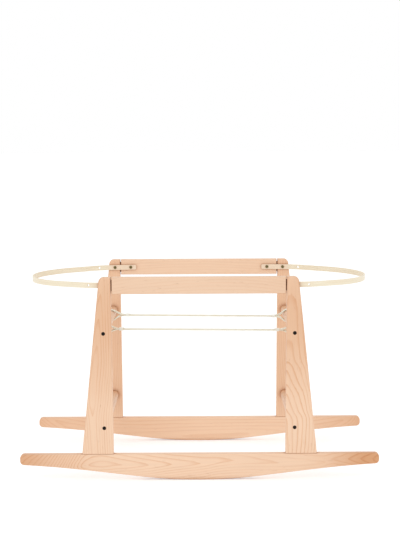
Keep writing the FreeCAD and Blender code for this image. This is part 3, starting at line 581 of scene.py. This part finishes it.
def add_tube(mesh, layer, centres, radius, sides, repeat):
    """A closed tube with domed ends. layer holds (length / repeat, share of the way round)."""
    frames = frames_along(centres)
    rings = []
    walked = 0.0
    for index, (point, side, up) in enumerate(frames):
        if index:
            walked += (point - frames[index - 1][0]).length
        ring = []
        for step in range(sides):
            angle = 2 * math.pi * step / sides
            ring.append(mesh.verts.new(
                point + (side * math.cos(angle) + up * math.sin(angle)) * radius))
        rings.append((ring, walked / repeat))
    for (low, low_at), (high, high_at) in zip(rings, rings[1:]):
        for step in range(sides):
            after = (step + 1) % sides
            face = mesh.faces.new((low[step], low[after], high[after], high[step]))
            face.smooth = True
            corners = ((low_at, step), (low_at, step + 1), (high_at, step + 1), (high_at, step))
            for loop, (at, turn) in zip(face.loops, corners):
                loop[layer].uv = (at, turn / sides)
    for (ring, at), index, flip in ((rings[0], 0, True), (rings[-1], -1, False)):
        point = frames[index][0]
        outward = (point - frames[1 if flip else -2][0]).normalized()
        tip = mesh.verts.new(point + outward * radius * 0.6)
        for step in range(sides):
            pair = (ring[step], ring[(step + 1) % sides])
            face = mesh.faces.new((*(reversed(pair) if flip else pair), tip))
            face.smooth = True
            for loop in face.loops:
                loop[layer].uv = (at, step / sides)


def new_piece(name, mesh, material, body):
    """An object from a bmesh, riding on a body."""
    data = bpy.data.meshes.new(name)
    bmesh.ops.recalc_face_normals(mesh, faces=mesh.faces)
    mesh.to_mesh(data)
    mesh.free()
    data.materials.append(material)
    piece = bpy.data.objects.new(name, data)
    bpy.context.scene.collection.objects.link(piece)
    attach(piece, body)
    return piece


def make_rope(name, points, material):
    """Three strands laid round each other along the rope's line."""
    centres = even_points(points, ROPE_LAY / RINGS_PER_LAY)
    frames = frames_along(centres)
    mesh = bmesh.new()
    layer = mesh.loops.layers.uv.new("strand")
    for strand in range(3):
        line = []
        walked = 0.0
        for index, (point, side, up) in enumerate(frames):
            if index:
                walked += (point - frames[index - 1][0]).length
            angle = 2 * math.pi * (walked / ROPE_LAY + strand / 3)
            line.append(point + (side * math.cos(angle) + up * math.sin(angle)) * STRAND_OFFSET)
        add_tube(mesh, layer, line, STRAND_RADIUS, STRAND_SIDES, ROPE_LAY)
    rope = new_piece(f"{name}_rope_strands", mesh, material, f"{name}_rope")
    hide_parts(f"rope_{name}")
    return rope


def rope_material():
    """Soft cotton: fine yarns slant round each strand."""
    cotton = Shader("rope_cotton")
    strand = cotton.add("ShaderNodeUVMap", uv_map="strand").outputs[0]
    split = cotton.add("ShaderNodeSeparateXYZ", ((0, strand),))
    along, around = split.outputs[0], split.outputs[1]
    slant = cotton.math("MULTIPLY_ADD", along, -5.0, around)
    yarn = cotton.math("SINE", cotton.math("MULTIPLY", slant, 2 * math.pi * 7))
    place = cotton.add("ShaderNodeTexCoord").outputs["Object"]
    fuzz_at = cotton.add("ShaderNodeVectorMath", ((0, place), (1, (2600.0,) * 3)),
                         operation="MULTIPLY").outputs[0]
    fuzz = cotton.noise(fuzz_at, 3.0, 0.7)
    soil_at = cotton.add("ShaderNodeVectorMath", ((0, place), (1, (60.0,) * 3)),
                         operation="MULTIPLY").outputs[0]
    soil = cotton.noise(soil_at, 2.0)
    # Painted shade in the valleys between the yarns.
    groove_shade = cotton.ramp(yarn, -1.0, -0.2, 1.0, 0.0)
    colour = cotton.mix(cotton.ramp(soil, 0.35, 0.7), (0.905, 0.895, 0.790),
                        (0.860, 0.840, 0.700))
    colour = cotton.mix(cotton.math("MULTIPLY", groove_shade, 0.22), colour, (0.62, 0.56, 0.38))
    # Painted shade, golden, where the rope lies against the dowels and wood and between its
    # strands.
    cotton.feed("Base Color", cotton.painted_corner_shade(colour, 0.006, (0.62, 0.42, 0.16), 0.55))
    cotton.set(**{"Roughness": 0.85, "Specular IOR Level": 0.2, "Sheen Weight": 0.35,
                  "Sheen Roughness": 0.5})
    height = cotton.math("MULTIPLY_ADD", fuzz, 0.8, yarn)
    cotton.bump(height, 0.00012, 0.7)
    return cotton.material


# ---- Whippings -----------------------------------------------------------------------

THREAD_RADIUS = 0.00052
THREAD_TURNS = 11
WHIPPING_LENGTH = 0.011
WHIPPING_INNER = 0.00275         # of the thread's inner side from a strand's middle
POINTS_PER_TURN = 28


def make_whipping(node, throat, tail, body, material):
    """Thread wound side by side round a rope and the tail that lies beside it.

    throat is where the rope leaves its eye, and tail is a run of two points on the tail.
    """
    low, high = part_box(node)
    middle = (low + high) / 2
    throat = Vector(throat)
    tail_start, tail_end = (Vector(point) for point in tail)
    heading = (tail_end - tail_start).normalized()
    beside = tail_start - throat
    beside -= heading * beside.dot(heading)
    straight = beside.length
    beside.normalize()
    across = heading.cross(beside)
    radius = WHIPPING_INNER + THREAD_RADIUS
    arc = math.pi * radius
    length = WHIPPING_LENGTH - 2 * THREAD_RADIUS
    mesh = bmesh.new()
    layer = mesh.loops.layers.uv.new("strand")
    thread = []
    total = THREAD_TURNS * POINTS_PER_TURN
    for step in range(total + 1):
        share = step / total
        walk = (share * THREAD_TURNS % 1.0) * 2 * (straight + arc)
        if walk < straight:
            side, run = radius, straight / 2 - walk
        elif walk < straight + arc:
            angle = (walk - straight) / radius
            side, run = radius * math.cos(angle), -straight / 2 - radius * math.sin(angle)
        elif walk < 2 * straight + arc:
            side, run = -radius, walk - straight - arc - straight / 2
        else:
            angle = (walk - 2 * straight - arc) / radius
            side, run = -radius * math.cos(angle), straight / 2 + radius * math.sin(angle)
        thread.append(middle + heading * (share - 0.5) * length + across * side + beside * run)
    add_tube(mesh, layer, thread, THREAD_RADIUS, 8, 0.004)
    piece = new_piece(node + "_thread", mesh, material, body)
    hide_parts(node)
    return piece


def thread_material():
    thread = Shader("whipping_thread")
    uv = thread.add("ShaderNodeUVMap", uv_map="strand").outputs[0]
    split = thread.add("ShaderNodeSeparateXYZ", ((0, uv),))
    slant = thread.math("MULTIPLY_ADD", split.outputs[0], 4.0, split.outputs[1])
    ply = thread.math("SINE", thread.math("MULTIPLY", slant, 2 * math.pi * 2))
    # Painted shade in the valleys between the plies.
    groove_shade = thread.ramp(ply, -1.0, 0.0, 1.0, 0.0)
    thread.feed("Base Color", thread.mix(thread.math("MULTIPLY", groove_shade, 0.3),
                                         (0.90, 0.89, 0.81), (0.66, 0.62, 0.50)))
    thread.set(**{"Roughness": 0.6, "Specular IOR Level": 0.35, "Sheen Weight": 0.2})
    thread.bump(ply, 0.00008, 0.6)
    return thread.material


def make_ropes():
    cotton = rope_material()
    waxed = thread_material()
    for name, route in ROPE_ROUTES.items():
        points = spline_points(route)
        rope = make_rope(name, points, cotton)
        ends = (("left", route[LEFT_THROAT], (route[1], route[0])),
                ("right", route[RIGHT_THROAT], (route[-2], route[-1])))
        wraps = [make_whipping(f"whipping_{name}_{side}", throat, tail, f"{name}_rope", waxed)
                 for side, throat, tail in ends]


# ---- Build ---------------------------------------------------------------------------

make_camera()
make_ropes()
paint_boards()
for side_name, side_seed in (("left", 4.0), ("right", 19.0)):
    paint_node(f"hoop_{side_name}", hoop_material(f"bent_wood_{side_name}", side_seed))
paint_metal()
make_studio()
